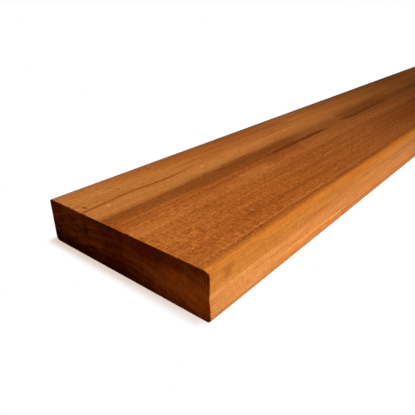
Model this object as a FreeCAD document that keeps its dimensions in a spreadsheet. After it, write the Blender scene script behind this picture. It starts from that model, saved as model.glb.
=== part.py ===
import FreeCAD, Part
import math
import os

import Sketcher

# Hardwood decking board, planed on all four sides with eased arrises
#
# One length of dense reddish brown tropical hardwood. It is sawn from the log, run
# through a four-sided moulder that planes both faces and both edges in one pass and
# rounds the long arrises, and then cross-cut square at both ends. It is a single piece
# of timber, so it is a single solid: the moulded section, carried straight along the
# grain.
#
# Row frame, in millimetres: X runs along the grain, Y across the board, Z up. The
# origin is the centre of the underside, where the board lies on its joists. The front
# edge is at -Y and the back edge at +Y.


# Driving dimensions
# The rounding differs from arris to arris, as the cutters of the moulder were set: the
# arris between the top and the front edge is the full round one, and the one between
# the top and the back edge is only just broken.
DRIVING_DIMENSIONS = [
    ("board_length", 1800.0, "length along the grain, as sold"),
    ("board_width", 90.0, "width over the two planed edges"),
    ("board_thickness", 20.0, "thickness over the two planed faces"),
    ("top_front_radius", 2.5, "rounding between the top and the front edge"),
    ("top_back_radius", 1.0, "rounding between the top and the back edge"),
    ("bottom_back_radius", 2.0, "rounding between the underside and the back edge"),
    ("bottom_front_radius", 1.5, "rounding between the underside and the front edge"),
]

# Points of a sketch edge, in the numbers that its constraints take
START = 1
END = 2
SKETCH_ORIGIN = (-1, 1)
SKETCH_X_AXIS = -1

VOLUME_TOLERANCE = 1e-6


def make_sizes(doc):
    """The spreadsheet with one named value in each row."""
    sheet = doc.addObject("Spreadsheet::Sheet", "sizes")
    for row, (name, value, meaning) in enumerate(DRIVING_DIMENSIONS, start=1):
        sheet.set(f"A{row}", name)
        sheet.set(f"B{row}", str(value))
        sheet.set(f"C{row}", meaning)
        sheet.setAlias(f"B{row}", name)
    doc.recompute()
    return sheet


def origin_plane(body, role):
    """One of the body's own origin planes, such as XY_Plane."""
    for feature in body.Origin.OriginFeatures:
        if feature.Role == role:
            return feature
    raise ValueError(f"the body has no origin plane {role}")


def corner_arc(centre_y, centre_z, radius, start_degrees):
    """A quarter circle that turns anticlockwise from start_degrees."""
    circle = Part.Circle(FreeCAD.Vector(centre_y, centre_z, 0), FreeCAD.Vector(0, 0, 1), radius)
    start = math.radians(start_degrees)
    return Part.ArcOfCircle(circle, start, start + math.pi / 2)


def straight(y_from, z_from, y_to, z_to):
    """A straight edge of the section."""
    return Part.LineSegment(FreeCAD.Vector(y_from, z_from, 0), FreeCAD.Vector(y_to, z_to, 0))


def add_outline(sketch, sizes):
    """Draws the section anticlockwise from the underside and returns its edges by name."""
    half = sizes.board_width / 2
    top = sizes.board_thickness
    top_front = sizes.top_front_radius
    top_back = sizes.top_back_radius
    bottom_back = sizes.bottom_back_radius
    bottom_front = sizes.bottom_front_radius
    edges = [
        ("underside", straight(-half + bottom_front, 0, half - bottom_back, 0)),
        ("bottom_back", corner_arc(half - bottom_back, bottom_back, bottom_back, -90)),
        ("back_edge", straight(half, bottom_back, half, top - top_back)),
        ("top_back", corner_arc(half - top_back, top - top_back, top_back, 0)),
        ("top_face", straight(half - top_back, top, -half + top_front, top)),
        ("top_front", corner_arc(-half + top_front, top - top_front, top_front, 90)),
        ("front_edge", straight(-half, top - top_front, -half, bottom_front)),
        ("bottom_front", corner_arc(-half + bottom_front, bottom_front, bottom_front, 180)),
    ]
    return {name: sketch.addGeometry(shape, False) for name, shape in edges}


def constrain(sketch, kind, *picks):
    """Adds a constraint and returns its number."""
    return sketch.addConstraint(Sketcher.Constraint(kind, *picks))


def add_dimension(sketch, kind, picks, value, name, expression):
    """Adds a named dimension that follows the spreadsheet."""
    number = constrain(sketch, kind, *picks, value)
    sketch.renameConstraint(number, name)
    sketch.setExpression(f"Constraints.{name}", expression)


def constrain_outline(sketch, edge, sizes):
    """Closes the section with tangent joints and ties every size to the spreadsheet."""
    round_the_section = list(edge.values())
    for here, after in zip(round_the_section, round_the_section[1:] + round_the_section[:1]):
        constrain(sketch, "Tangent", here, END, after, START)
    constrain(sketch, "Horizontal", edge["underside"])
    constrain(sketch, "Horizontal", edge["top_face"])
    constrain(sketch, "Vertical", edge["back_edge"])
    constrain(sketch, "Vertical", edge["front_edge"])

    # the underside lies on the floor, and the width is shared equally about the origin
    constrain(sketch, "PointOnObject", edge["underside"], START, SKETCH_X_AXIS)
    add_dimension(
        sketch, "DistanceX", (edge["front_edge"], START, *SKETCH_ORIGIN),
        sizes.board_width / 2, "half_width", "sizes.board_width / 2",
    )
    add_dimension(
        sketch, "DistanceX", (edge["front_edge"], START, edge["back_edge"], END),
        sizes.board_width, "width", "sizes.board_width",
    )
    add_dimension(
        sketch, "DistanceY", (edge["underside"], END, edge["top_face"], START),
        sizes.board_thickness, "thickness", "sizes.board_thickness",
    )
    for arris in ("top_front", "top_back", "bottom_back", "bottom_front"):
        cell = f"{arris}_radius"
        add_dimension(
            sketch, "Radius", (edge[arris],), getattr(sizes, cell), cell, f"sizes.{cell}",
        )


def make_board(doc, sizes):
    """The board: its moulded section, padded both ways from the middle of its length."""
    body = doc.addObject("PartDesign::Body", "decking_board")
    body.Label = "decking_board"

    section = body.newObject("Sketcher::SketchObject", "moulded_section")
    section.AttachmentSupport = [(origin_plane(body, "YZ_Plane"), "")]
    section.MapMode = "FlatFace"
    edge = add_outline(section, sizes)
    constrain_outline(section, edge, sizes)
    doc.recompute()
    if section.solve() != 0 or section.FullyConstrained is False:
        raise RuntimeError("the section isn't fully constrained")

    stock = body.newObject("PartDesign::Pad", "straight_length")
    stock.Profile = section
    stock.SideType = "Symmetric"
    stock.setExpression("Length", "sizes.board_length")
    body.Tip = stock
    doc.recompute()
    return body


def expected_volume(sizes):
    """The volume from the sizes alone: the full rectangle less what each rounding cuts off."""
    radii = (
        sizes.top_front_radius,
        sizes.top_back_radius,
        sizes.bottom_back_radius,
        sizes.bottom_front_radius,
    )
    cut_off = (1 - math.pi / 4) * sum(radius**2 for radius in radii)
    return (sizes.board_width * sizes.board_thickness - cut_off) * sizes.board_length


def check(doc, body, sizes):
    """Stops before anything is written if a feature failed or the solid isn't the right one."""
    for feature in doc.Objects:
        if "Invalid" in feature.State or "Error" in feature.State:
            raise RuntimeError(f"{feature.Label} failed: {feature.State}")
    shape = body.Shape
    if shape.isNull() or not shape.isValid() or len(shape.Solids) != 1:
        raise RuntimeError("the board isn't one valid solid")
    expected = expected_volume(sizes)
    if abs(shape.Volume - expected) > VOLUME_TOLERANCE * expected:
        raise RuntimeError(f"the volume is {shape.Volume}, and the sizes give {expected}")


def main():
    doc = FreeCAD.newDocument("decking_board")
    sizes = make_sizes(doc)
    board = make_board(doc, sizes)
    check(doc, board, sizes)
    os.makedirs("parts", exist_ok=True)
    board.Shape.exportStep(os.path.join("parts", f"{board.Label}.step"))
    box = board.Shape.BoundBox
    print(f"{board.Label}: {box.XLength:.1f} x {box.YLength:.1f} x {box.ZLength:.1f} mm")


main()
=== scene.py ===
# %% [markdown]
# A hardwood decking board, dressed for a close look
#
# The object is one length of reddish brown tropical hardwood, planed on all four sides
# and cut square at both ends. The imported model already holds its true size. This lesson
# makes the surface that is looked at: the rounded arrises with their small faults, the
# sawn ends, and above all the wood itself, which is a solid pattern that the faces of
# the board cut through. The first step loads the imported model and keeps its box.

# %% Load the frame
import math

import bpy
import numpy as np
from mathutils import Matrix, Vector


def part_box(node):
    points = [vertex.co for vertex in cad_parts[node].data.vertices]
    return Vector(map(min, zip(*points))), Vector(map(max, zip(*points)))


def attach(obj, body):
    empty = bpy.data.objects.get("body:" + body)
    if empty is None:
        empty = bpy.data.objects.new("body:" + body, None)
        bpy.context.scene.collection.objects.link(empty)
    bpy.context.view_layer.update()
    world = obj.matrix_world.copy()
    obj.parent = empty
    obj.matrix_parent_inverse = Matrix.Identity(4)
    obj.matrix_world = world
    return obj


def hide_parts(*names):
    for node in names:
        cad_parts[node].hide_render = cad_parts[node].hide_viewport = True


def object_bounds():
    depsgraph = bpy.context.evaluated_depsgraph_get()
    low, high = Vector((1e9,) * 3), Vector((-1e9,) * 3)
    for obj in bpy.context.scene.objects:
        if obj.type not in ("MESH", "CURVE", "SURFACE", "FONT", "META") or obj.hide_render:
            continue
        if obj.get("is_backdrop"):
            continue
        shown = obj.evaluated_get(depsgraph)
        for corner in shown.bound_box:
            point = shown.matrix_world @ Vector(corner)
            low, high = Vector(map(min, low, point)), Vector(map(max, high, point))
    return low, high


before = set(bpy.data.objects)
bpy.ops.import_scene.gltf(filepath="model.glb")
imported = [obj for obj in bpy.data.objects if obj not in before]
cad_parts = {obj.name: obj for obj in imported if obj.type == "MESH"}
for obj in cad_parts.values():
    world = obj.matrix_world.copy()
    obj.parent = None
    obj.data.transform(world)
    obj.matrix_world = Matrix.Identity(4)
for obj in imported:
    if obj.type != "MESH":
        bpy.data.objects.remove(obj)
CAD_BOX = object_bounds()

NODE = "decking_board"
LOW, HIGH = (np.array(corner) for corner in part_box(NODE))
LENGTH, WIDTH, THICKNESS = HIGH - LOW
MM = 0.001
print(f"frame: {LENGTH / MM:.0f} x {WIDTH / MM:.0f} x {THICKNESS / MM:.0f} mm")

# %% [markdown]
# Camera
#
# The photograph is a close view over the near end. A camera is found for such a picture
# by moving it until a box of the board's size falls on the edges in the picture. That
# gives a place 84 mm before the end and 95 mm above the floor, and a lens a little
# longer than the sensor is wide. The turn is kept as three angles, because a reader can
# picture them: how far round, how far down, and how tilted.

# %% Set up the camera
PHOTO_PIXELS = 415
FOCAL_PIXELS = 431.1
SENSOR_MM = 36
CAMERA_PLACE = (-0.98372, -0.11738, 0.09498)
CAMERA_AZIMUTH, CAMERA_ELEVATION, CAMERA_ROLL = np.radians([-49.06, 25.47, -1.32])


def in_scene(name, data):
    """A new object in the scene that carries this data."""
    made = bpy.data.objects.new(name, data)
    bpy.context.scene.collection.objects.link(made)
    return made


def camera_axes(azimuth, elevation, roll):
    """Right, up and backward directions. Backward is (sin a cos e, -cos a cos e, sin e) for
    azimuth a and elevation e, right is (cos a, sin a, 0), up is their cross product, and the
    roll turns right and up about the line of sight."""
    back = np.array([
        math.sin(azimuth) * math.cos(elevation),
        -math.cos(azimuth) * math.cos(elevation),
        math.sin(elevation),
    ])
    level = np.array([math.cos(azimuth), math.sin(azimuth), 0])
    upright = np.cross(back, level)
    right = math.cos(roll) * level + math.sin(roll) * upright
    up = math.cos(roll) * upright - math.sin(roll) * level
    return right, up, back


def make_camera():
    """A camera object whose matrix has those three directions as its columns."""
    data = bpy.data.cameras.new("photo_camera")
    data.sensor_width = SENSOR_MM
    data.lens = SENSOR_MM * FOCAL_PIXELS / PHOTO_PIXELS
    data.clip_start = 5 * MM
    data.clip_end = 100
    camera = in_scene("photo_camera", data)
    matrix = np.eye(4)
    matrix[:3, :3] = np.stack(camera_axes(CAMERA_AZIMUTH, CAMERA_ELEVATION, CAMERA_ROLL), 1)
    matrix[:3, 3] = CAMERA_PLACE
    camera.matrix_world = Matrix(matrix.tolist())
    bpy.context.scene.camera = camera
    return camera


camera = make_camera()
print(f"camera: lens {camera.data.lens:.1f} mm at {[round(x, 3) for x in camera.location]}")

# %% [markdown]
# The section of the board
#
# The cutters of a moulder round each long arris to a radius of its own: the front top
# arris most and the back top arris least. A bevel on a box would give all four the same
# look, so the section is walked point by point instead, four straight runs and four
# quarter circles. Each point keeps the direction that is outward there, because every
# fault of the surface is later cut inward along it.

# %% Walk round the section
BACK_BOTTOM, BACK_TOP, FRONT_TOP, FRONT_BOTTOM = 2 * MM, 1 * MM, 2.5 * MM, 1.5 * MM
ARC_POINTS = 8
FACE_STEP = 1.7 * MM
EDGE_STEP = 1.3 * MM
CHECK_FROM_BACK = 22.4 * MM
CHECK_HALF_WIDTH = 0.42 * MM
CHECK_POINTS, CHECK_CLEARANCE = np.array([2.2, 1, 0, -1, -2.2]), 3
HALF = WIDTH / 2


def straight(start, stop, step):
    """The inner points of a straight run: even steps from start to stop, both ends left out."""
    count = max(2, round(abs(stop - start) / step))
    return np.linspace(start, stop, count + 1)[1:-1]


def quarter(centre, radius, first):
    """A quarter circle: centre + radius (cos t, sin t), with t from first to first + 90 degrees.
    Returns the points, their outward directions, and sin(2 t'), which is 1 in mid arc."""
    turn = np.linspace(0, math.pi / 2, ARC_POINTS)
    out = np.stack([np.cos(first + turn), np.sin(first + turn)], 1)
    return np.array(centre) + radius * out, out, np.sin(2 * turn)


def flat_run(across, height, outward):
    """A straight run: the points (across, height), which all face the same way."""
    across, height = np.broadcast_arrays(across, height)
    points = np.stack([across, height], 1)
    return points, np.broadcast_to(outward, points.shape), np.zeros(len(points))


def top_columns():
    """Where the top's points lie across the board: even steps, and five close together at the
    drying check, whose two lips and bottom need points of their own."""
    even = straight(HALF - BACK_TOP, -HALF + FRONT_TOP, FACE_STEP)
    middle = HALF - CHECK_FROM_BACK
    lips = middle + CHECK_HALF_WIDTH * CHECK_POINTS
    clear = even[np.abs(even - middle) > CHECK_CLEARANCE * CHECK_HALF_WIDTH]
    return np.sort(np.concatenate([clear, lips]))[::-1]


def under_columns(top):
    """As many points on the underside, in the same proportions over its own width."""
    share = (top - top[-1]) / (top[0] - top[-1])
    front = FRONT_BOTTOM + FACE_STEP - HALF
    back = HALF - BACK_BOTTOM - FACE_STEP
    return (front + share * (back - front))[::-1]


TOP_COLUMNS = top_columns()
RUNS = [
    flat_run(HALF, straight(BACK_BOTTOM, THICKNESS - BACK_TOP, EDGE_STEP), (1, 0)),
    quarter((HALF - BACK_TOP, THICKNESS - BACK_TOP), BACK_TOP, 0),
    flat_run(TOP_COLUMNS, THICKNESS, (0, 1)),
    quarter((FRONT_TOP - HALF, THICKNESS - FRONT_TOP), FRONT_TOP, math.pi / 2),
    flat_run(-HALF, straight(THICKNESS - FRONT_TOP, FRONT_BOTTOM, EDGE_STEP), (-1, 0)),
    quarter((FRONT_BOTTOM - HALF, FRONT_BOTTOM), FRONT_BOTTOM, math.pi),
    flat_run(under_columns(TOP_COLUMNS), 0, (0, -1)),
    quarter((HALF - BACK_BOTTOM, BACK_BOTTOM), BACK_BOTTOM, 1.5 * math.pi),
]
SECTION, OUTWARD, ON_ARRIS = (np.concatenate([run[part] for run in RUNS]) for part in range(3))
TOP_RUN, UNDER_RUN, BACK_RUNS = 2, 6, (0, 1, 7)
RUN_OF_POINT = np.repeat(np.arange(len(RUNS)), [len(run[0]) for run in RUNS])
print(f"section: {len(SECTION)} points, {len(TOP_COLUMNS)} of them across the top")

# %% [markdown]
# Stations along the board
#
# The points of the section are repeated at stations along the grain. Near the sawn end,
# where the camera is, they lie a millimetre apart, and closer still in the last tenths
# of a millimetre, where the saw has broken the edge. Further away they spread out. The
# step wanted at each place is known, one over it is how many stations a metre holds
# there, and the stations are where the running sum of that reaches the whole numbers.

# %% Space the stations
SMALLEST_STEP = 0.05 * MM
NEAR_STEP, NEAR_GROWTH = 1 * MM, 0.012
FAR_STEP, FAR_GROWTH = 1.6 * MM, 0.02
END_GROWTH = 0.3
END_ZONE, END_SAMPLES, MIDDLE_SAMPLES = 5 * MM, 2000, 20000


def step_wanted(along):
    """The smaller of two straight lines: one steep, from the very end, and one gentle. Both
    start again from the far end, with a coarser gentle line."""
    back = LENGTH - along
    near = np.minimum(SMALLEST_STEP + END_GROWTH * along, NEAR_STEP + NEAR_GROWTH * along)
    far = np.minimum(SMALLEST_STEP + END_GROWTH * back, FAR_STEP + FAR_GROWTH * back)
    return np.minimum(near, far)


def make_stations():
    """The places where the running sum of 1 / step is a whole number, with both ends kept."""
    sample = np.concatenate([
        np.linspace(0, END_ZONE, END_SAMPLES, endpoint=False),
        np.linspace(END_ZONE, LENGTH - END_ZONE, MIDDLE_SAMPLES, endpoint=False),
        np.linspace(LENGTH - END_ZONE, LENGTH, END_SAMPLES),
    ])
    rate = 1 / step_wanted(sample)
    count = np.concatenate([[0], np.cumsum(np.diff(sample) * (rate[1:] + rate[:-1]) / 2)])
    whole = np.linspace(0, count[-1], int(count[-1]) + 1)
    return np.interp(whole, count, sample)


STATIONS = make_stations()
print(f"stations: {len(STATIONS)}, so {len(STATIONS) * len(SECTION)} points on the long surface")

# %% [markdown]
# The small faults of a real board
#
# A planed board is never a perfect prism. The arrises wander by a tenth of a millimetre.
# A fine drying check opens in the top where the end dried first, and closes after 78 mm.
# The front edge took a knock at the
# corner, which left a shallow dent that runs out along the grain. The saw broke the rim
# of both ends, a little more where the check weakens it. Each fault is a depth in metres
# over the whole grid, and all of them cut inward, so the board stays within its size.

# %% Work out the faults
SEED = 11
WANDER_DEPTH = 0.11 * MM
WANDER_LENGTHS = np.array([47, 83, 131, 290]) * MM
CHECK_DEPTH = 0.04 * MM
CHECK_LENGTH = 78 * MM
CHECK_SWAY, CHECK_WAVE = 0.7 * MM, 48 * MM
CHECK_PULL = 9 * MM
DENT_DEPTH = 0.42 * MM
DENT_BELOW_TOP, DENT_HALF_HEIGHT, DENT_LENGTH = 10.2 * MM, 2.1 * MM, 9 * MM
RIM_RADIUS, RIM_CHIPS, RIM_WAVES = 0.1 * MM, 0.22 * MM, np.array([3.1, 5.3, 8.9, 17]) * MM
CHIP_POWER = 1.5
NEAR_RIM_SEED, FAR_RIM_SEED = SEED + 20, SEED + 21
CHECK_CHIP, CHECK_CHIP_WIDTH = 0.45 * MM, 0.9 * MM


def bell(distance, width):
    """exp(-(distance / width)^2): 1 in the middle, a third at one width, nothing at two."""
    return np.exp(-((distance / width) ** 2))


def waves(along, lengths, seed):
    """The mean of one sine for each wavelength, with seeded phases, between -1 and 1."""
    phases = np.random.default_rng(seed).uniform(0, 2 * math.pi, len(lengths))
    return np.sin(2 * math.pi * along[..., None] / lengths + phases).mean(-1)


def check_sway(along):
    """How far the check leaves its straight line: sway times cos(2 pi along / wave)."""
    return CHECK_SWAY * np.cos(2 * math.pi * along / CHECK_WAVE)


def arris_wander(along):
    """Depth on the arrises: up to WANDER_DEPTH in mid arc and none on the faces, with other
    phases on each arris."""
    depth = np.zeros((len(along), len(SECTION)))
    for run in sorted(set(RUN_OF_POINT[ON_ARRIS > 0])):
        here = RUN_OF_POINT == run
        depth[:, here] = WANDER_DEPTH * (1 + waves(along, WANDER_LENGTHS, SEED + run))[:, None] / 2
    return depth * ON_ARRIS


def drying_check(along):
    """A V groove in the top: depth times (1 - distance / half width), which closes along the
    board as 1 - (along / length)^2."""
    on_top = OUTWARD[:, 1] == 1
    distance = np.abs(HALF - SECTION[:, 0] - CHECK_FROM_BACK)
    groove = np.clip(1 - distance / CHECK_HALF_WIDTH, 0, 1) * on_top
    closing = np.clip(1 - (along / CHECK_LENGTH) ** 2, 0, 1)
    return CHECK_DEPTH * closing[:, None] * groove


def corner_dent(along):
    """A shallow dent in the front edge, bell shaped in height, that fades as exp(-along / length)."""
    on_front = OUTWARD[:, 0] == -1
    height = bell(THICKNESS - SECTION[:, 1] - DENT_BELOW_TOP, DENT_HALF_HEIGHT)
    return DENT_DEPTH * np.exp(-along / DENT_LENGTH)[:, None] * height * on_front


def rim_radius(seed, checked):
    """How far the saw has broken the rim at each point of the section: a small radius, more
    where seeded waves round the section rise, and most where the check meets the end."""
    walked = np.cumsum(np.hypot(*np.diff(SECTION, axis=0, prepend=SECTION[-1:]).T))
    chips = np.clip(waves(walked, RIM_WAVES, seed), 0, 1) ** CHIP_POWER
    at_check = bell(HALF - SECTION[:, 0] - CHECK_FROM_BACK, CHECK_CHIP_WIDTH)
    return RIM_RADIUS + RIM_CHIPS * chips + CHECK_CHIP * at_check * (OUTWARD[:, 1] == 1) * checked


def broken_rim(from_end, radius):
    """Depth of a round of that radius: r - sqrt(r^2 - (r - x)^2), at x from the end, none past r."""
    reach = np.clip(radius - from_end[:, None], 0, None)
    return radius - np.sqrt(radius**2 - reach**2)


NEAR_RIM, FAR_RIM = rim_radius(NEAR_RIM_SEED, 1), rim_radius(FAR_RIM_SEED, 0)
DEPTH = arris_wander(STATIONS) + drying_check(STATIONS) + corner_dent(STATIONS)
DEPTH += broken_rim(STATIONS, NEAR_RIM) + broken_rim(LENGTH - STATIONS, FAR_RIM)
print(f"faults: {DEPTH.min() / MM:.2f} to {DEPTH.max() / MM:.2f} mm deep")

# %% [markdown]
# The skin and the two ends
#
# The long surface is the section, carried from station to station: a grid whose two
# parameters are the place along the board and the place round the section. Where the
# check sways, the columns of the top sway with it, so that the groove keeps its sharp
# bottom. Each end is closed by rings of the last section that shrink to a line halfway
# up the end. One large face would close it too, but it shades badly.

# %% Build the grid and its faces
CAP_SHARES = np.array([0.03, 0.12, 0.35, 0.68])


def long_surface():
    """Grid of points: x from the station, y and z from the section less depth times outward.
    On the top, y also follows the check, less and less up to CHECK_PULL from it."""
    across = SECTION[:, 0] - DEPTH * OUTWARD[:, 0]
    height = SECTION[:, 1] - DEPTH * OUTWARD[:, 1]
    pull = np.clip(1 - np.abs(HALF - SECTION[:, 0] - CHECK_FROM_BACK) / CHECK_PULL, 0, 1)
    follow = pull * pull * (3 - 2 * pull) * (OUTWARD[:, 1] == 1)
    across = across - check_sway(STATIONS)[:, None] * follow
    along = np.broadcast_to(STATIONS[:, None], across.shape)
    return np.stack([LOW[0] + along, across, LOW[2] + height], -1)


def middle_line():
    """For each point of the section, which point of the middle line it shrinks to: the top and
    the underside meet in pairs, and each edge shrinks to one end of the line."""
    count = len(TOP_COLUMNS)
    towards = np.where(np.isin(RUN_OF_POINT, BACK_RUNS), 0, count - 1)
    towards[RUN_OF_POINT == TOP_RUN] = np.arange(count)
    towards[RUN_OF_POINT == UNDER_RUN] = np.arange(count)[::-1]
    return towards


def end_rings(rim, towards):
    """The rings of one end: rim + share (middle - rim), for each share, and the middle line."""
    middle = rim[RUN_OF_POINT == TOP_RUN].copy()
    middle[:, 2] = LOW[2] + THICKNESS / 2
    rings = rim + CAP_SHARES[:, None, None] * (middle[towards] - rim)
    return rings, middle


def ribbon(first, second, flip):
    """Four-cornered faces between two closed rows of points, wound the other way by flip."""
    a, b, c, d = first, np.roll(first, -1), np.roll(second, -1), second
    return np.stack([d, c, b, a] if flip else [a, b, c, d], 1)


def end_faces(rows, middle_row, flip):
    """Ribbons between the rings, and then down to the middle line, where those on the two
    edges are triangles: a doubled corner, which is dropped."""
    quads = np.concatenate([ribbon(a, b, flip) for a, b in zip(rows, rows[1:])])
    last = ribbon(rows[-1], middle_row, flip)
    thin = (last[:, 0] == last[:, 1]) | (last[:, 2] == last[:, 3])
    corners = last[thin]
    triangles = corners[:, [0, 2, 3]] if flip else corners[:, [0, 1, 2]]
    return np.concatenate([quads, last[~thin]]), triangles


def board_grid():
    """All points and faces of the board: the skin, the near end and the far end. Also returns
    how many faces the skin has."""
    skin = long_surface()
    stations, around = skin.shape[:2]
    number = np.arange(stations * around).reshape(stations, around)
    skin_faces = np.concatenate([ribbon(a, b, False) for a, b in zip(number, number[1:])])
    towards = middle_line()
    points, quads, triangles = [skin.reshape(-1, 3)], [skin_faces], []
    for rim_row, flip in ((0, True), (stations - 1, False)):
        rings, middle = end_rings(skin[rim_row], towards)
        start = sum(len(p) for p in points)
        ring_numbers = start + np.arange(rings[..., 0].size).reshape(rings.shape[:2])
        middle_numbers = start + rings[..., 0].size + towards
        points += [rings.reshape(-1, 3), middle]
        rows = [number[rim_row], *ring_numbers]
        end_quads, end_triangles = end_faces(rows, middle_numbers, flip)
        quads.append(end_quads)
        triangles.append(end_triangles)
    return np.concatenate(points), np.concatenate(quads), np.concatenate(triangles), len(skin_faces)


POINTS, QUADS, TRIANGLES, SKIN_FACES = board_grid()
print(f"board: {len(POINTS)} points, {2 * len(QUADS) + len(TRIANGLES)} triangles")

# %% [markdown]
# The piece and its map
#
# The arrays go into a mesh object that sits at the origin, with its place in its points.
# It stands for the imported board and rides on the part's one body. It brings a map of its own, for a bake:
# the four faces and their arrises unroll into one long strip, whose only seam runs along the back bottom
# arris, and the two ends get a corner each. The strip is not to scale. Streaks of grain are long and thin,
# so the map is fine across the grain and coarse along it, and finer near the end that is looked at.

# %% Make the piece
MAP_NAME = "OFBake"
MAP_EDGE = 0.004
STRIP_BOTTOM = 0.165
NEAR_CORNER = (0.004, 0.004, 0.6, 0.15)
FAR_CORNER = (0.612, 0.004, 0.996, 0.097)
CLOSE_UP = 0.2
CLOSE_UP_GAIN = 1.9
SHARP_DEGREES = 30


def between(low, high, share):
    """low + share (high - low)."""
    return low + share * (high - low)


def strip_along(along):
    """Place along the strip, 0 to 1: a straight line, steeper by CLOSE_UP_GAIN up to CLOSE_UP."""
    reach = np.minimum(along, CLOSE_UP) * (CLOSE_UP_GAIN - 1) + along
    return reach / (LENGTH + CLOSE_UP * (CLOSE_UP_GAIN - 1))


def strip_map(stations):
    """Corners of the skin's faces on the map: the stations run across it and the way round the
    section runs up it."""
    closed = np.concatenate([SECTION, SECTION[:1]])
    walked = np.concatenate([[0], np.cumsum(np.hypot(*np.diff(closed, axis=0).T))])
    across = between(MAP_EDGE, 1 - MAP_EDGE, strip_along(stations))
    up = between(STRIP_BOTTOM, 1 - MAP_EDGE, walked / walked[-1])
    u0, v0 = np.broadcast_arrays(across[:-1, None], up[None, :-1])
    u1, v1 = np.broadcast_arrays(across[1:, None], up[None, 1:])
    return np.stack([u0, v0, u0, v1, u1, v1, u1, v0], -1).reshape(-1, 2)


def end_map(places):
    """Corners of the end faces: y and z, fitted to the corner of the map that each end has."""
    near = places[:, :1] < 0
    corner = np.where(near, NEAR_CORNER, FAR_CORNER)
    share = (places[:, 1:] - LOW[1:]) / (HIGH[1:] - LOW[1:])
    return between(corner[:, :2], corner[:, 2:], share)


def make_board():
    """The mesh object, with its map, smooth faces, and a sharp line wherever faces meet at
    more than SHARP_DEGREES."""
    mesh = bpy.data.meshes.new("planed_board")
    mesh.from_pydata(POINTS.tolist(), [], QUADS.tolist() + TRIANGLES.tolist())
    ends = np.concatenate([QUADS[SKIN_FACES:].ravel(), TRIANGLES.ravel()])
    corners = np.concatenate([strip_map(STATIONS), end_map(POINTS[ends])])
    layer = mesh.uv_layers.new(name=MAP_NAME)
    layer.data.foreach_set("uv", corners.astype(np.float32).ravel())
    mesh.shade_smooth()
    mesh.set_sharp_from_angle(angle=math.radians(SHARP_DEGREES))
    mesh.validate()
    board = in_scene("planed_board", mesh)
    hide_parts(NODE)
    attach(board, "root")
    return board


board = make_board()
print(f"piece: {board.name}, {len(board.data.polygons)} faces")

# %% [markdown]
# Sums on shader values
#
# The wood is a sum: so much of the long streaks, less the pores, and so on. Wiring that
# by hand hides the sum. The class below wraps one output of a node, so that Python's own
# operators add the Math nodes. The bench that the nodes lie on has one method for every
# other node: it takes the type, the settings, and the values or links of the sockets.

# %% Wrap a shader value
class Value:
    """An output socket on which + - * and / each add one Math node."""

    def __init__(self, bench, socket):
        self.bench, self.socket = bench, socket

    def __add__(self, other):
        return self.bench.math("ADD", self, other)

    def __sub__(self, other):
        return self.bench.math("SUBTRACT", self, other)

    def __rsub__(self, other):
        return self.bench.math("SUBTRACT", other, self)

    def __mul__(self, other):
        return self.bench.math("MULTIPLY", self, other)

    def __truediv__(self, other):
        return self.bench.math("DIVIDE", self, other)

    __radd__, __rmul__ = __add__, __mul__


class Bench:
    """The node tree of a material or a world, and the few ways in which this lesson adds nodes."""

    def __init__(self, owner):
        owner.use_nodes = True
        self.owner = owner
        self.nodes = owner.node_tree.nodes
        self.links = owner.node_tree.links
        self.nodes.clear()

    def node(self, kind, settings=(), sockets=(), output=0):
        """Any shader node: its settings first, then each socket, by name or number, gets a value or a
        link. Returns one output, or None for a node that ends the tree."""
        made = self.nodes.new("ShaderNode" + kind)
        for name, setting in dict(settings).items():
            setattr(made, name, setting)
        for name, given in dict(sockets).items():
            if isinstance(given, Value):
                self.links.new(given.socket, made.inputs[name])
            else:
                made.inputs[name].default_value = given
        return Value(self, made.outputs[output]) if made.outputs else None

    def math(self, operation, *values):
        return self.node("Math", {"operation": operation}, dict(enumerate(values)))

    def vector(self, operation, *values):
        return self.node("VectorMath", {"operation": operation}, dict(enumerate(values)))

    def split(self, place):
        """The three parts of a place."""
        first = self.node("SeparateXYZ", (), {0: place})
        return [Value(self, socket) for socket in first.socket.node.outputs]

    def join(self, *parts):
        """A place from its three parts."""
        return self.node("CombineXYZ", (), dict(enumerate(parts)))

    def sibling(self, value, name):
        """Another output of the node that a value comes from."""
        return Value(self, value.socket.node.outputs[name])

    def rise(self, value, low, high, start=0, stop=1):
        """start below low, stop above high, and an S-shaped slope between: 3 t^2 - 2 t^3. It needs no
        clamp. The renderer would make each clamp a node more, and the wood too big to work out."""
        settings = {"interpolation_type": "SMOOTHSTEP", "clamp": False}
        named = {"Value": value, "From Min": low, "From Max": high, "To Min": start, "To Max": stop}
        return self.node("MapRange", settings, named)

    def fall(self, value, low, high):
        """The same slope downwards: 1 below low and 0 above high."""
        return self.rise(value, low, high, 1, 0)

    def hill(self, distance, flat, foot):
        """1 where the distance to either side is under flat, and 0 past foot."""
        return self.fall(self.math("ABSOLUTE", distance), flat, foot)

    def mix(self, share, first, second):
        """A colour between two colours. The colour sockets of a Mix node are its numbers 6 and 7."""
        return self.node("Mix", {"data_type": "RGBA"}, {0: share, 6: first, 7: second}, output=2)

    def brighten(self, colour, factor):
        """A colour times a value."""
        return self.node("VectorMath", {"operation": "SCALE"}, {"Vector": colour, "Scale": factor})

    def noise(self, place, detail=2, roughness=0.5):
        """Smooth noise around 0, mostly between -1 and 1, at a place counted in the noise's own lengths."""
        sockets = {"Vector": place, "Scale": 1, "Detail": detail, "Roughness": roughness}
        raw = self.node("TexNoise", {"noise_dimensions": "3D"}, sockets)
        return (raw - 0.5) * 4


def rgb(red, green, blue):
    """A linear colour with its alpha."""
    return (red, green, blue, 1)


print("bench: ready")

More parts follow.
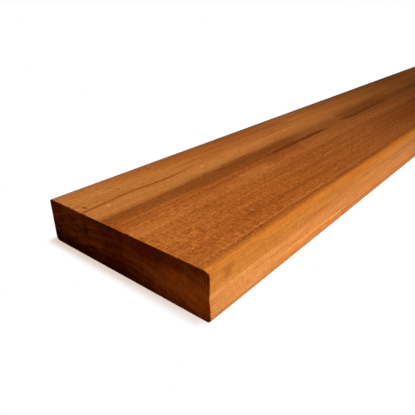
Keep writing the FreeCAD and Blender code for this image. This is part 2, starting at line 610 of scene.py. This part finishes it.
# %% [markdown]
# Where in the wood
#
# A planed board shows the wood that it was cut through, so the pattern is solid: each
# face, arris and sawn end shows its own cut of the same streaks. A picture pulled over
# the faces would break at every arris. The place in the timber is counted in millimetres
# from the near end, from the back edge and from the top. The fibres of a grown tree never
# run quite straight, so slow waves push the place sideways before a streak is looked up.

# %% Find the place in the timber
wood = Bench(bpy.data.materials.new("planed_hardwood"))
rise, fall, hill, mix, noise, join = wood.rise, wood.fall, wood.hill, wood.mix, wood.noise, wood.join
FLOW_ACROSS, FLOW_DEPTH = 1.3, 0.9


def timber_place():
    """(x from the near end, from the back edge, from the top), in mm, and its three parts."""
    metres = wood.node("TexCoord", output="Object")
    corner = (LOW[0], HIGH[1], HIGH[2])
    from_corner = wood.vector("SUBTRACT", metres, corner)
    place = wood.vector("MULTIPLY", from_corner, (1 / MM, -1 / MM, -1 / MM))
    return place, *wood.split(place)


def stretched(place, length, width, shift):
    """The place counted in lengths along the grain and widths across it, moved by shift so that
    no two patterns are alike."""
    sizes = (1 / length, 1 / width, 1 / width)
    return wood.node(
        "VectorMath", {"operation": "MULTIPLY_ADD"},
        {0: place, 1: sizes, 2: (shift, 1.7 * shift, 2.3 * shift)},
    )


place, along, across, depth = timber_place()
wavy_across = across + FLOW_ACROSS * noise(stretched(place, 170, 55, 3.1), detail=1)
wavy_depth = depth + FLOW_DEPTH * noise(stretched(place, 130, 40, 8.4), detail=1)
fibres = join(along, wavy_across, wavy_depth)
print("timber: place and fibres found")

# %% [markdown]
# Growth layers, streaks and fibres
#
# The layers that the tree grew are arches in the end of this board, because it was sawn
# beside the heart: their centre lies some 100 mm below the top, under the middle of the
# width. The radius from there, plus a slow taper along the trunk, says which layer a
# place belongs to. Over the layers lie streaks of four sizes, down to single fibres, and
# short flecks where the planed fibres dip in and out of the face. All of them are noise
# drawn out along the grain, and each changes the tone only a little.

# %% Grow the wood
PITH_ACROSS, PITH_DEPTH = 47, 98
TAPER = 0.006


def layer_radius():
    """sqrt((across - pith)^2 + (depth - pith)^2) + taper x, in mm."""
    sideways = wavy_across - PITH_ACROSS
    down = PITH_DEPTH - wavy_depth
    return wood.math("SQRT", sideways * sideways + down * down) + TAPER * along


def layers(radius, thickness, shift):
    """Noise that changes with the radius alone, but for a slow change along the trunk."""
    return noise(join(along / 700 + shift, radius / thickness, shift), detail=2)


def streaks(length, width, shift, detail=2):
    """Noise around 0 that is drawn out along the fibres."""
    return noise(stretched(fibres, length, width, shift), detail)


radius = layer_radius()
growth = layers(radius, 1.9, 5.2)
zones = streaks(420, 13, 1.9)
bands = streaks(130, 2.6, 12.7)
lines = streaks(45, 0.75, 23.3)
threads = streaks(14, 0.28, 31.9, detail=1)
flecks = streaks(1.5, 0.36, 37.7, detail=1)
print("wood: layers, zones, bands, lines, threads and flecks")

# %% [markdown]
# Pores
#
# This timber carries its sap in large single vessels. Cut lengthwise they are fine dark
# grooves two to five millimetres long, and cut across they are round holes. Cells of a
# Voronoi pattern, drawn out along the grain, give both from one formula: a pore is where
# the distance to the middle of the cell is small. A cell's own random number decides how
# dark its pore is.

# %% Place the pores
PORE_LENGTH, PORE_SPACING = 5.5, 0.95
PORE_CORE, PORE_RIM = 0.12, 0.3


def pore_field():
    """1 in the middle of a pore and 0 outside, times the cell's own strength."""
    settings = {"voronoi_dimensions": "3D", "feature": "F1"}
    sockets = {"Vector": stretched(fibres, PORE_LENGTH, PORE_SPACING, 41.3), "Scale": 1, "Randomness": 1}
    distance = wood.node("TexVoronoi", settings, sockets)
    cell = wood.sibling(distance, "Color")
    strength = rise(wood.split(cell)[0], 0.25, 0.9)
    return fall(distance, PORE_CORE, PORE_RIM) * strength


pores = pore_field()
print("pores: placed")

# %% [markdown]
# Marks that this board has
#
# Random streaks make a plausible board. To be this board, some have to lie where the
# photograph shows them: a dark stripe along the top a little behind the middle, paler
# wood behind it, a hairline check, a tick and three torn spots beside it, and streaks in
# the front edge. Each streak is a hill in the distance to a line along the grain, times a
# window that says from where to where it runs, so a short row of numbers describes one.
# Most read the wavy place and drift with the fibres. Those that follow a planed edge read
# the plain place. Where the photograph ends, slow noise bends the stripe instead.

# %% Lay the marks
def window(start, stop, fade, fade_out=None):
    """1 from start to stop along the board, with a slope of the length fade outside each of them,
    or of the length fade_out past the stop."""
    return rise(along, start - fade, start) * fall(along, stop, stop + (fade_out or fade))


def stripe(coordinate, centre, flat, foot, start, stop, fade=15, fade_out=None):
    """A streak along the grain: a hill in the distance to the centre, within a window."""
    return hill(coordinate - centre, flat, foot) * window(start, stop, fade, fade_out)


def spot(centre, sizes):
    """1 at a centre (along, across, depth) in mm and 0 outside an egg shape of these half sizes."""
    from_centre = wood.vector("SUBTRACT", place, centre)
    scaled = wood.vector("DIVIDE", from_centre, sizes)
    reach = wood.node("VectorMath", {"operation": "LENGTH"}, {0: scaled}, output="Value")
    return fall(reach, 0.2, 1)


def total(masks):
    """The sum of a list of masks."""
    result = masks[0]
    for mask in masks[1:]:
        result = result + mask
    return result


def lay(coordinate, rows):
    """The sum of strength times stripe over the rows. A row holds the strength and then, in mm,
    the centre, the half widths at full height and at the foot, the start and stop, and the fades."""
    return total([strength * stripe(coordinate, *shape) for strength, *shape in rows])


on_top = fall(depth, 0.4, 1.6)
on_front = rise(across, 87.6, 89.2)
past_line = rise(across, 85.6, 86.8)
drift = 5 * noise(join(along / 230, 3.7, 0), detail=1) * rise(along, 300, 600)
from_stripe = wavy_across - 0.35 * depth + 1.1 * bands + 0.35 * lines + drift
stripe_body = lay(from_stripe, [
    (0.8, 37.6, 2.2, 6.2, -200, 52, 26),
    (0.95, 37.6, 3, 8.2, 76, 112, 46),
    (0.55, 36.8, 2, 8, 140, 185, 30),
    (0.8, 37.8, 3.1, 8.2, 212, 262, 16, 50),
    (0.46, 38.4, 1.8, 6.6, 318, 520, 50, 120),
    (0.42, 30.6, 1.2, 4.2, 222, 290, 20, 50),
    (0.55, 38.3, 1.6, 7, 560, 2000, 140),
])
stripe_front = lay(wavy_across, [
    (1.2, 42.3, 0.5, 1.9, 115, 160, 22),
    (0.55, 42.3, 0.8, 2.2, 52, 95),
    (0.7, 41, 0.5, 2.6, 205, 275),
    (0.6, 33, 0.4, 1.8, 82, 98, 10),
    (0.36, 46, 0.8, 3, 212, 268, 18, 14),
])
dark_stripe = wood.math("MINIMUM", 0.94, stripe_body + stripe_front) * (0.92 + 0.16 * bands + 0.17 * lines)
dark_core = on_top * lay(across + 0.4 * bands, [
    (1, 42.3, 0.4, 1.8, 118, 160, 14),
    (0.6, 41.6, 0.5, 1.9, 214, 250, 14, 28),
    (0.3, 37.4, 1.2, 3.4, 78, 128, 20),
])
wave = wood.math("COSINE", along * (2 * math.pi * MM / CHECK_WAVE))
check_distance = across - CHECK_FROM_BACK / MM - (CHECK_SWAY / MM) * wave
check_line = hill(check_distance, 0.38, 1.45) * window(-5, 45, 34) * on_top
dark_streaks = lay(wavy_across, [
    (0.5, 47.2, 0.3, 1.5, 45, 90),
    (0.6, 57.2, 0.3, 1.8, 125, 215),
    (0.5, 68.8, 0.8, 2.4, 92, 150),
    (0.6, 76.4, 0.7, 2.2, 45, 110),
    (0.5, 60.5, 0.5, 2.5, 205, 300),
    (0.5, 46, 1.5, 5, 60, 150, 30),
    (0.6, 47, 2, 5, 104, 125, 14),
    (0.7, 59, 0.6, 2, -5, 150, 25),
    (0.55, 11.5, 2.5, 6, 84, 165, 20),
    (0.5, 50, 1.5, 4.5, 98, 102, 6),
    (0.4, 10, 0.8, 3, 112, 150, 20),
    (0.5, 1.2, 0.4, 2, 100, 400, 40),
])
dark_lines = lay(across, [
    (0.4, 85.4, 0.25, 0.8, -5, 400),
    (0.6, 21.3, 0.3, 1.2, 115, 160),
])
tick = spot((4.1, 19.7, 0), (1, 2.4, 1))
top_dark = on_top * (dark_streaks + dark_lines + 2.8 * tick)
pale_line = 0.6 * stripe(across, 84, 0.2, 0.9, -5, 120)
top_pale = on_top * (pale_line + lay(wavy_across, [
    (0.35, 52, 0.2, 0.8, 30, 60),
    (0.45, 55.6, 0.2, 0.8, 5, 62),
    (0.8, 13.3, 0.8, 2.6, -5, 24, 12),
    (0.4, 56.8, 0.4, 1.6, 74, 98, 8),
    (0.5, 50.8, 1.5, 5.5, 76, 88, 12),
    (0.4, 66.6, 0.2, 0.9, 148, 175),
]))
torn = on_top * total([
    spot((11.6, 25.5, 0), (1.6, 1.5, 1)),
    0.7 * spot((46.8, 25.3, 0), (1.6, 1.4, 1)),
    spot((70.5, 25.7, 0), (2, 1.6, 1)),
])
slanting_depth = wavy_depth - 0.018 * (along - 90)
front_dark = on_front * total([
    lay(depth, [
        (0.7, 1, 0.2, 0.7, 1, 26, 4),
        (1.2, 4, 1.2, 3.4, 8.5, 9.5, 4),
        (0.5, 4.6, 0.8, 2.2, 122, 150, 10),
        (0.5, 11.3, 0.8, 2, 112, 300, 15),
        (0.5, 14.5, 3, 6, -5, 6, 9),
        (0.6, 18.5, 0.5, 1.6, -5, 24, 10),
        (0.9, 17.8, 1.4, 3.4, 138, 500, 25),
    ]),
    lay(wavy_depth, [
        (0.6, 7.1, 0.4, 1.5, 62, 80, 10),
        (0.6, 8.6, 0.2, 0.9, 40, 45, 6),
        (0.5, 6, 0.8, 2.4, 165, 205),
        (0.6, 4.7, 0.8, 2.2, 94, 104, 8),
        (0.5, 9.2, 0.5, 1.6, 152, 172, 8),
    ]),
    lay(slanting_depth, [
        (0.9, 16.6, 0.2, 0.8, 66, 120, 8),
        (0.6, 14, 0.2, 0.8, 52, 96, 8),
    ]),
])
front_orange = on_front * total([
    stripe(slanting_depth, 12.6, 0.9, 2.2, 122, 196, 10),
    lay(wavy_depth, [(0.8, 17, 0.4, 1.3, 44, 84, 8), (0.5, 13.1, 0.4, 1.2, 50, 66, 6)]),
    0.7 * stripe(depth, 2, 0.3, 1.4, 120, 210, 12),
])
front_pale = on_front * total([
    lay(wavy_depth, [
        (0.9, 9.6, 0.3, 1.3, 3, 32, 5),
        (0.7, 10.5, 0.3, 1.3, 36, 60, 8),
        (1, 15, 0.8, 2.2, 30, 92, 12),
    ]),
    0.8 * stripe(depth, 15.6, 0.5, 1.6, 62, 90, 8),
])
print("marks: stripe, check, spots, and streaks on the top and the front edge")

# %% [markdown]
# Colour
#
# Fresh oiled hardwood of this kind is orange brown, lighter behind the stripe, and tan
# there towards the end. The colours are linear values, which is what light is multiplied
# by. The pale and dark marks are laid over the base as colours of their own. Further
# along the top and by the back arris the photograph shows the wood greyer, so more green
# and blue is kept there. The tone of layers, streaks and pores then multiplies the
# colour, and dark wood is also redder: the tone acts once on red, about one and a half
# times on green and twice on blue.

# %% Colour the long faces
ORANGE_BROWN = rgb(0.33, 0.084, 0.012)
LIGHT_ORANGE = rgb(0.425, 0.126, 0.022)
TAN = rgb(0.435, 0.153, 0.0315)
DARK_STRIPE = rgb(0.203, 0.0515, 0.0075)
# A little of the blue in the two front colours is painted sheen: it greys them as a stronger gloss would.
FRONT_UPPER = rgb(0.34, 0.113, 0.0175)
FRONT_LOWER = rgb(0.385, 0.134, 0.031)
FRONT_ORANGE = rgb(0.44, 0.125, 0.011)
PALE = rgb(0.5, 0.185, 0.045)
TORN = rgb(0.64, 0.3, 0.11)
# Oil soaked into the drying check and the painted shade inside its crack, as one dark colour.
CHECK_SOAK_AND_SHADE = rgb(0.28, 0.066, 0.0075)
DEEP = rgb(0.175, 0.038, 0.004)
GREYING = [(0.08, 0.2, 0.12), (0.36, 0.7, 0.8)]


def behind_stripe():
    """Tan by the end, light orange further along. The change comes sooner near the back edge."""
    gone = rise(along - 3 * across, -15, 45)
    kept = 0.55 * rise(across, 18, 26) * fall(along, 170, 250)
    return mix(1 - gone * (1 - kept), LIGHT_ORANGE, TAN)


def shading():
    """Slow changes of the tone. Lighter: the top by the end in front of the middle, a band behind the
    stripe, and, as painted light, the front edge further on. Darker: the wood in front of the middle
    further on, the strip by the back arris with the lines in it, the core of the stripe, and, as painted
    shade, the back top arris, the front top arris and the low front arris."""
    by_end = 0.1 * fall(along, 8, 40) * rise(wavy_across, 44, 50)
    by_back = 0.1 * fall(across, 7, 13) * rise(along, 15, 85)
    by_arris = 0.09 + 0.03 * window(-10, 160, 60) + 0.06 * window(60, 172, 25)
    by_arris = by_arris * fall(across, 3.2, 6.6)
    contour = lay(across, [
        (0.08, 5, 0.9, 2.9, 40, 150, 25),
        (0.07, 4.8, 0.9, 2.9, 112, 138, 20),
        (0.14, 4, 0.6, 2.4, 225, 400, 40),
    ])
    by_arris = on_top * (by_arris + contour)
    # Painted shade: the back top arris is darker, fading out within 2.4 mm of the back edge.
    painted_shade_back_arris = 0.42 * fall(across, 0.6, 2.4) * on_top
    behind = 0.12 * on_top * stripe(wavy_across, 21.5, 1.5, 5.5, 106, 330, 18, 60)
    in_front = 0.1 * window(120, 420, 60) + 0.07 * window(232, 420, 36)
    in_front = in_front * rise(wavy_across, 54, 60)
    # Painted shade: the front top arris is darker on its lower part and just below it.
    painted_shade_front_arris = 0.13 * rise(across, 88.2, 89.5) * fall(depth, 2, 3.4)
    # Painted shade: the low front arris, by the floor, is darker.
    painted_shade_low_arris = 0.35 * on_front * rise(depth, 18, 19.8)
    # Painted light: the front edge is made lighter from about 170 to 260 mm along.
    painted_light_front_edge = 0.16 * on_front * window(170, 260, 90)
    edges = by_back + by_arris + painted_shade_back_arris + painted_shade_front_arris + painted_shade_low_arris
    return 1 + by_end + behind + painted_light_front_edge - in_front - edges - 0.34 * dark_core


def face_colour():
    """Base by zone, then the stripe and the marks, as colours laid one over the other."""
    behind = fall(wavy_across + 1.2 * bands, 32, 37)
    base = mix(behind, ORANGE_BROWN, behind_stripe())
    base = mix(0.1 + 0.16 * zones + 0.12 * bands, base, LIGHT_ORANGE)
    near_front = rise(across, 86.2, 87.9)
    ridge = on_top * hill(across - 88, 0.6, 1.6)
    front = mix(rise(wavy_depth + bands, 6, 11), FRONT_UPPER, FRONT_LOWER)
    base = mix(near_front, base, front)
    base = mix(dark_stripe, base, DARK_STRIPE)
    base = mix(0.55 * (top_pale + front_pale), base, PALE)
    base = mix(0.55 * front_orange + 0.35 * ridge, base, FRONT_ORANGE)
    base = mix(0.55 * torn, base, TORN)
    # The check's dark line: soaked wood and painted shade of the crack together.
    base = mix(0.88 * check_line, base, CHECK_SOAK_AND_SHADE)
    return mix(0.36 * (top_dark + front_dark), base, DEEP)


def faded(colour):
    """A colour times (1, 1 + g, 1 + b). Both g and b are sums of a gain for the top further on, one
    for the strip by the back arris, and one more for that strip past its first millimetres."""
    share = rise(along, 80, 160) * rise(across, 28, 34, 0.25, 1)
    share = on_top * share * fall(across, 84, 87)
    reach = rise(along, 60, 300, 3, 5)
    by_back = on_top * fall(across - reach, 0, 2.6)
    later = by_back * rise(along, 20, 60)
    green, blue = (1 + top * share + back * by_back + more * later for top, back, more in GREYING)
    return wood.vector("MULTIPLY", colour, join(1, green, blue))


def tone():
    """1 plus what layers, streaks and flecks add, less the pores, times the shading."""
    mottle = noise(join(along / 10, across / 3, depth / 3), detail=1)
    streaky = 0.05 * growth + 0.05 * zones + 0.075 * bands + 0.12 * lines + 0.035 * mottle
    open_grain = rise(wavy_across, 33, 45, 0.17, 0.33) * (1 - 0.65 * past_line)
    fine = 0.1 * threads + open_grain * flecks - (0.36 - 0.18 * past_line) * pores
    return (1 + streaky + fine) * shading()


def tinted(colour, amount):
    """A colour times (t, t (1 + t) / 2, t^2)."""
    green = amount * (0.5 + 0.5 * amount)
    tint = join(amount, green, amount * amount)
    return wood.vector("MULTIPLY", colour, tint)


faces = tinted(faded(face_colour()), tone())
print("colour: long faces")

# %% [markdown]
# The sawn ends
#
# Cut across, the same fibres are open tubes that drink oil and swallow light, so the ends
# are much darker and redder than the faces. The layers show as arches, thin rays cross
# them on their way out from the heart, and the pores are dots. The rays need the angle
# about the heart. A mask picks the last tenth of a millimetre of the board, so the
# colour turns on the broken rim. Here and there it reaches half a millimetre further,
# where the saw smeared the dark edge.

# %% Colour the ends
END_DARK = rgb(0.035, 0.0038, 0.0006)
END_LIGHT = rgb(0.42, 0.074, 0.0065)
END_RED = rgb(0.13, 0.0125, 0.0018)
END_SKIN, NIB_LENGTH = 0.14, 0.55
RAY_WIDTH, RAY_REACH = 0.42, 11


def end_mask():
    """1 within END_SKIN of either end, and up to NIB_LENGTH further where a noise is high."""
    nibs = noise(join(across / 1.5, depth / 1.5, 5.5), detail=1)
    further = NIB_LENGTH * rise(nibs, 0.3, 1)
    near = fall(along - further, 0.03, END_SKIN)
    far = rise(along + further, LENGTH / MM - END_SKIN, LENGTH / MM - 0.03)
    return wood.math("MAXIMUM", near, far)


def rays():
    """Noise that is long along the radius and fine along the arch."""
    angle = wood.math("ARCTAN2", wavy_across - PITH_ACROSS, PITH_DEPTH - wavy_depth)
    arch = angle * (PITH_DEPTH / RAY_WIDTH)
    return noise(join(arch, radius / RAY_REACH, 6.6), detail=1)


def end_bands():
    """What the share of pale wood gains or loses by place: more in the front half, at half depth, and at
    the low front corner; less in the middle, at the front top, low down and at the back. The gain in the
    front half is paler wood and painted light together, and the loss low down is painted shade by the
    floor."""
    front_half = rise(across, 44, 84)
    # Paler wood and painted light together: the front half of the end is lighter, most at half depth.
    pale = front_half * (0.08 + 0.3 * hill(depth - 11, 1.5, 8.5))
    by_top = 0.06 * hill(across - 17, 5, 13) * fall(depth, 2, 7)
    middle = hill(across - 41.5, 3, 8) * rise(depth, 2, 12, 0.6, 1)
    front_top = hill(across - 63.5, 2.5, 8) * fall(depth, 5, 13)
    # Painted shade: the end is darker low down, by the floor, most towards the back.
    low = rise(depth, 12, 17.2) * rise(across, 40, 80, 0.27, 0.02)
    corner = 0.07 * rise(across, 78, 86) * rise(depth, 13, 17)
    by_back = 0.05 * fall(across, 3, 11)
    return pale + by_top + corner - 0.13 * (middle + front_top) - low - by_back


at_end = end_mask()
fine_growth = layers(radius, 0.62, 17.4)
blotches = noise(join(across / 4.5, depth / 2.6, 9.1), detail=2)
end_share = 0.34 + 0.1 * growth + 0.1 * fine_growth + 0.14 * blotches + 0.07 * rays() + end_bands()
end_tone = 1 + 0.16 * threads + 0.1 * lines - 0.55 * pores
red_top = 0.8 * hill(across - 66, 10, 24) * fall(depth, 2, 9)
redder = 0.25 + 0.45 * hill(across - 47, 9, 22) + red_top + 0.3 * blotches
redder = redder - 0.5 * rise(end_share, 0.4, 0.7)
end_base = mix(rise(end_share, 0, 1), END_DARK, END_LIGHT)
ends = tinted(mix(0.5 * redder, end_base, END_RED), end_tone)
print("colour: ends")

# %% [markdown]
# Surface
#
# The look of planed wood is also in how it shines. The dense bands are a little smoother
# than the open ones, the pores are rough, and handling has burnished the arrises. The
# relief is a sum of heights in millimetres: raised fibres, sunken pores, the faint cross
# ripple that the planer's knives leave, and the saw's scratches on the ends. A Bump node
# takes it, with one height unit worth a millimetre.

# %% Roughness and relief
FACE_ROUGHNESS, END_ROUGHNESS = 0.52, 0.75
RIPPLE_PITCH = 1
SAW_PITCH = 1.1


def ripple():
    """Short waves across the grain, strongest near the end and the front of the top."""
    sizes = (1 / RIPPLE_PITCH, 1 / 4.5, 1 / 4.5)
    wobble = noise(wood.vector("MULTIPLY", fibres, sizes), detail=1)
    strongest = rise(across, 48, 74, 0.25, 1) * rise(along, 40, 120, 1, 0.35)
    return wobble * strongest * (1 - 0.6 * past_line)


def saw_scratches():
    """Upright scratches on the ends, and a few deep even ones near the front."""
    fine = noise(join(across / 0.28, depth / 26, 2.2), detail=1)
    comb = wood.math("SINE", across * (2 * math.pi / SAW_PITCH))
    where = hill(across - 85.6, 2.6, 3.8) * fall(depth, 7, 9.5)
    return 0.5 * fine + 1.8 * comb * where


rippled = ripple()
scratched = saw_scratches()
along_relief = 0.01 * threads + 0.012 * lines + 0.008 * rippled - 0.045 * pores
end_relief = 0.008 * scratched + 0.008 * fine_growth - 0.04 * pores
relief = along_relief + at_end * (end_relief - along_relief)
face_roughness = FACE_ROUGHNESS - 0.05 * growth + 0.05 * lines + 0.16 * pores
end_roughness = END_ROUGHNESS + 0.1 * pores - 0.04 * growth
print("surface: roughness and relief")

# %% [markdown]
# The finished wood
#
# The two colours meet at the end mask. The ripple and the comb of the saw are also painted into the colour,
# as faint painted light and shade on their small ridges. A worn arris is paler. Which points lie on an
# arris is known from the section, so the mesh carries it as an attribute of its own, and the material reads
# that. A planed face has a weak gloss and open end grain has none, so there are two shaders, and the end
# mask mixes them.

# %% Finish the wood
ARRIS = "arris"
WORN = rgb(0.36, 0.118, 0.02)
FACE_SPECULAR, END_SPECULAR = 0.02, 0


def write_arris_attribute(mesh):
    """The value of ON_ARRIS at each point of the skin, and 0 on the rings of the ends."""
    worn = np.zeros(len(POINTS))
    worn[:STATIONS.size * len(SECTION)] = np.tile(ON_ARRIS, STATIONS.size)
    mesh.attributes.new(ARRIS, "FLOAT", "POINT").data.foreach_set("value", worn.astype(np.float32))


def shader(colour, roughness, normal, specular):
    """A Principled shader with those four sockets set."""
    sockets = {
        "Base Color": colour, "Roughness": roughness, "Normal": normal, "Specular IOR Level": specular,
    }
    return wood.node("BsdfPrincipled", (), sockets)


def finish_wood():
    """The shader of the faces and the shader of the ends, mixed by the end mask."""
    arris = wood.node("Attribute", {"attribute_name": ARRIS}, output="Fac")
    wear = arris * rise(zones + bands, -0.8, 0.8, 0, 0.35)
    # Painted light and shade: the colour turns lighter and darker with the planer's ripple, and on the ends
    # with the saw's comb.
    face_colour = mix(wear, wood.brighten(faces, 1 + 0.25 * rippled), WORN)
    end_colour = wood.brighten(ends, 1 + 0.18 * scratched)
    normal = wood.node("Bump", (), {"Height": relief, "Distance": MM, "Strength": 1})
    planed = shader(face_colour, face_roughness - 0.08 * wear, normal, FACE_SPECULAR)
    sawn = shader(end_colour, end_roughness, normal, END_SPECULAR)
    finished = wood.node("MixShader", (), {0: at_end, 1: planed, 2: sawn})
    wood.node("OutputMaterial", (), {"Surface": finished})
    return wood.owner


write_arris_attribute(board.data)
board.data.materials.append(finish_wood())
print(f"wood: {len(wood.nodes)} nodes")

# %% [markdown]
# The floor
#
# The photograph's ground is pure white, but light that comes back from a real white floor
# would wash out the dark end. So the floor answers two kinds of ray. A ray from the
# camera, or one that gloss or glass sends on, meets a white ground. Far from the board
# it only glows. Within some millimetres part of the white is lit instead, so the board's
# shadow shows, and the glow that is left in it is warm. The distance is measured from a
# box that stops short of the front edge, because that edge faces the key lamp and throws
# no shadow forwards. Any other ray meets a grey ground, as dull as a table.

# %% Lay the floor
FLOOR_HALF_SIZE = 60
DULL_GREY = 0.28
GLOW_NEAR = rgb(0.61, 0.43, 0.32)
LIT_NEAR = rgb(0.41, 0.6, 0.73)
BLACK, WHITE = rgb(0, 0, 0), rgb(1, 1, 1)
SHADOW_REACH = (0.0008, 0.0056)
SHADE_LOW = (LOW[0], LOW[1] + SHADOW_REACH[1], LOW[2])


def seen(bench):
    """1 for a ray from the camera and for one that gloss or glass sends on, and 0 for others."""
    camera_ray = bench.node("LightPath", output="Is Camera Ray")
    glossy_ray = bench.sibling(camera_ray, "Is Glossy Ray")
    glass_ray = bench.sibling(camera_ray, "Is Transmission Ray")
    return bench.math("MAXIMUM", camera_ray, bench.math("MAXIMUM", glossy_ray, glass_ray))


def make_ground_material():
    """Diffuse plus glow: white for the rays that see it, grey for those that light with it."""
    bench = Bench(bpy.data.materials.new("white_ground"))
    place = bench.node("TexCoord", output="Object")
    inside = bench.vector("MAXIMUM", bench.vector("MINIMUM", place, HIGH), SHADE_LOW)
    away = bench.vector("SUBTRACT", place, inside)
    reach = bench.node("VectorMath", {"operation": "LENGTH"}, {0: away}, output="Value")
    far = bench.rise(reach, *SHADOW_REACH)
    eye = seen(bench)
    lit = bench.mix(eye, rgb(DULL_GREY, DULL_GREY, DULL_GREY), bench.mix(far, LIT_NEAR, BLACK))
    glow = bench.mix(eye, BLACK, bench.mix(far, GLOW_NEAR, WHITE))
    matt = bench.node("BsdfDiffuse", (), {"Color": lit})
    glowing = bench.node("Emission", (), {"Color": glow, "Strength": 1})
    both = bench.node("AddShader", (), {0: matt, 1: glowing})
    bench.node("OutputMaterial", (), {"Surface": both})
    return bench.owner


def make_floor():
    """A square at the height of the board's underside. It isn't part of the board."""
    reach = FLOOR_HALF_SIZE
    corners = [(-reach, -reach, 0), (reach, -reach, 0), (reach, reach, 0), (-reach, reach, 0)]
    mesh = bpy.data.meshes.new("floor")
    mesh.from_pydata(corners, [], [(0, 1, 2, 3)])
    mesh.materials.append(make_ground_material())
    floor = in_scene("floor", mesh)
    floor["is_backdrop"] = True
    return floor


floor = make_floor()
print(f"floor: {2 * FLOOR_HALF_SIZE:.0f} m square")

# %% [markdown]
# Light
#
# In the photograph the front edge is the brightest face, the sawn end is dark, and
# everything fades within a third of a metre. Two small soft lamps do that. The key is low
# in front of the board, so that it only grazes the sawn face. The top lamp hangs high over
# the board and leans towards the near end, so that the end throws a short shadow on the
# floor. The others light what the photograph doesn't show: a long one over the rest of
# the board, and two strips, lower than the top face, that reach only the back edge and
# the far end. The world gives weak even light, and the camera sees it as white. Rays that
# gloss sends on meet neither it nor the key, because their mirror images would lie as a
# grey veil over wood this dark.

# %% Set up the lamps
LAMPS = [
    ("key", (-0.915, -0.505, 0.13), (-0.785, 0, 0.01), (0.12, 0.12), 1.1, 98),
    ("top", (-0.69, -0.05, 0.72), (-0.93, 0, 0.01), (0.12, 0.12), 0.478, 64.5),
    ("rest", (0.3, -0.42, 0.38), (0.3, 0, 0), (1.36, 0.2), 1.1, 58),
    ("back_strip", (0, 0.55, 0.01), (0, 0, 0.01), (1.9, 0.015), 2, 120),
    ("far_strip", (1.35, 0, 0.01), (0.9, 0, 0.01), (0.4, 0.015), 0.35, 120),
]
WORLD_LEVEL = 0.2


def make_lamp(name, place, aim, size, watts, spread):
    """A rectangular soft lamp at a place, turned to a point that it is aimed at."""
    data = bpy.data.lights.new(name, "AREA")
    data.shape = "RECTANGLE"
    data.size, data.size_y = size
    data.energy = watts
    data.spread = math.radians(spread)
    lamp = in_scene(name, data)
    lamp.location = place
    towards = Matrix.Translation(aim).translation - lamp.location
    lamp.rotation_euler = towards.to_track_quat("-Z", "Y").to_euler()
    lamp.visible_camera = False
    return lamp


def make_world():
    """Even grey light, which is white to the rays that see it: level + (1 - level) seen."""
    bench = Bench(bpy.data.worlds.new("even_light"))
    strength = WORLD_LEVEL + (1 - WORLD_LEVEL) * seen(bench)
    background = bench.node("Background", (), {"Color": WHITE, "Strength": strength})
    bench.node("OutputWorld", (), {"Surface": background})
    bench.owner.cycles_visibility.glossy = False
    bpy.context.scene.world = bench.owner
    return bench.owner


lamps = [make_lamp(*row) for row in LAMPS]
lamps[0].visible_glossy = False
world = make_world()
bpy.context.scene.view_settings.view_transform = "Standard"
print(f"light: {len(lamps)} lamps, world {WORLD_LEVEL}")

# %% [markdown]
# Sizes, and the end
#
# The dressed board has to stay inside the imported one. Both boxes are written down side by
# side, so that anyone can compare them.

# %% Write the sizes and finish
SIZES = {"cad": CAD_BOX, "dressed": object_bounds()}
SIZES = {name: [[float(x) for x in corner] for corner in box] for name, box in SIZES.items()}
print(f"sizes: {SIZES}")
